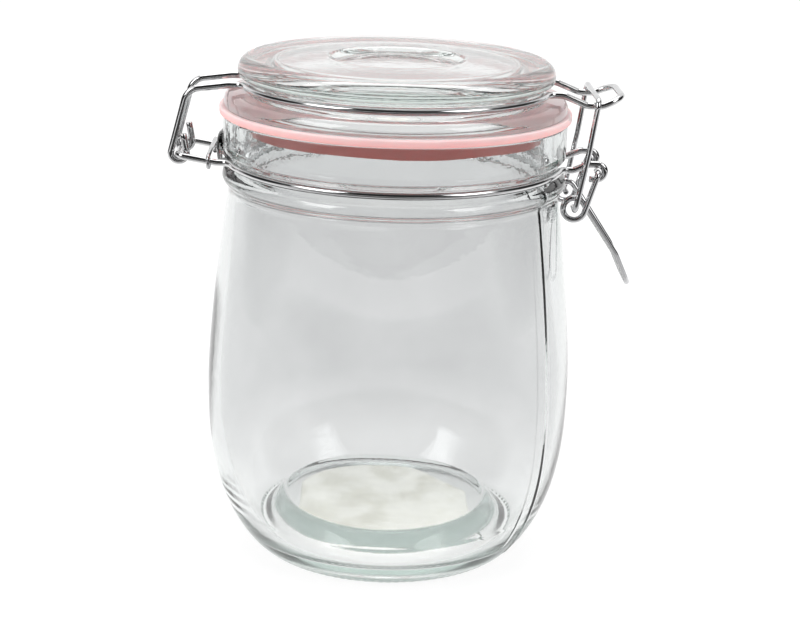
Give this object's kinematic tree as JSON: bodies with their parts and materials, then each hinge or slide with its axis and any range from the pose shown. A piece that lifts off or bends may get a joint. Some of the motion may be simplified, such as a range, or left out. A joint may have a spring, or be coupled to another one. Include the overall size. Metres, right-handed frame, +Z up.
{
  "type": "clip-top storage jar",
  "caption": "Round pressed-glass jar with a hinged glass lid, a rubber sealing ring and a sprung wire closure with a lever latch.",
  "frame": {"origin": "centre of the foot ring, on the plane the jar stands on", "axes": "+Z up along the jar's axis, +X towards the latch, -X towards the hinge, Y along the hinge pin"},
  "size_m": [0.1319, 0.105, 0.1424],
  "materials": {
    "jar_glass": "clear pressed glass, faint green in the thick parts",
    "lid_glass": "clear pressed glass, faint green in the thick parts",
    "label_paper": "off-white paper, mottled",
    "ring_rubber": "pale pink translucent rubber, matte",
    "band_wire": "bright drawn wire",
    "clip_wire": "bright thin wire",
    "latch_wire": "bright drawn wire"
  },
  "bodies": {
    "jar": {"jar_body": "jar_glass", "base_label": "label_paper", "neck_wire": "band_wire", "neck_wire_clip": "clip_wire"},
    "lid": {"lid": "lid_glass", "gasket": "ring_rubber", "lid_wire": "band_wire"},
    "lever": {"latch_lever": "latch_wire"},
    "bail": {"latch_bail": "latch_wire"}
  },
  "joints": [
    {"name": "lid_hinge", "type": "hinge", "parent": "jar", "child": "lid", "pos_m": [-0.0601, 0, 0.1153], "axis": [0, -1, 0], "range_deg": [0, 215]},
    {"name": "lever_pivot", "type": "hinge", "parent": "jar", "child": "lever", "pos_m": [0.0565, 0, 0.1132], "axis": [0, -1, 0], "range_deg": [0, 125]},
    {"name": "bail_pivot", "type": "hinge", "parent": "lever", "child": "bail", "pos_m": [0.0503, 0, 0.1029], "axis": [0, -1, 0], "range_deg": [-300, 0]}
  ],
  "couplings": [
    {"joint": "bail_pivot", "follows": "lever_pivot", "ratio": -2.4}
  ]
}
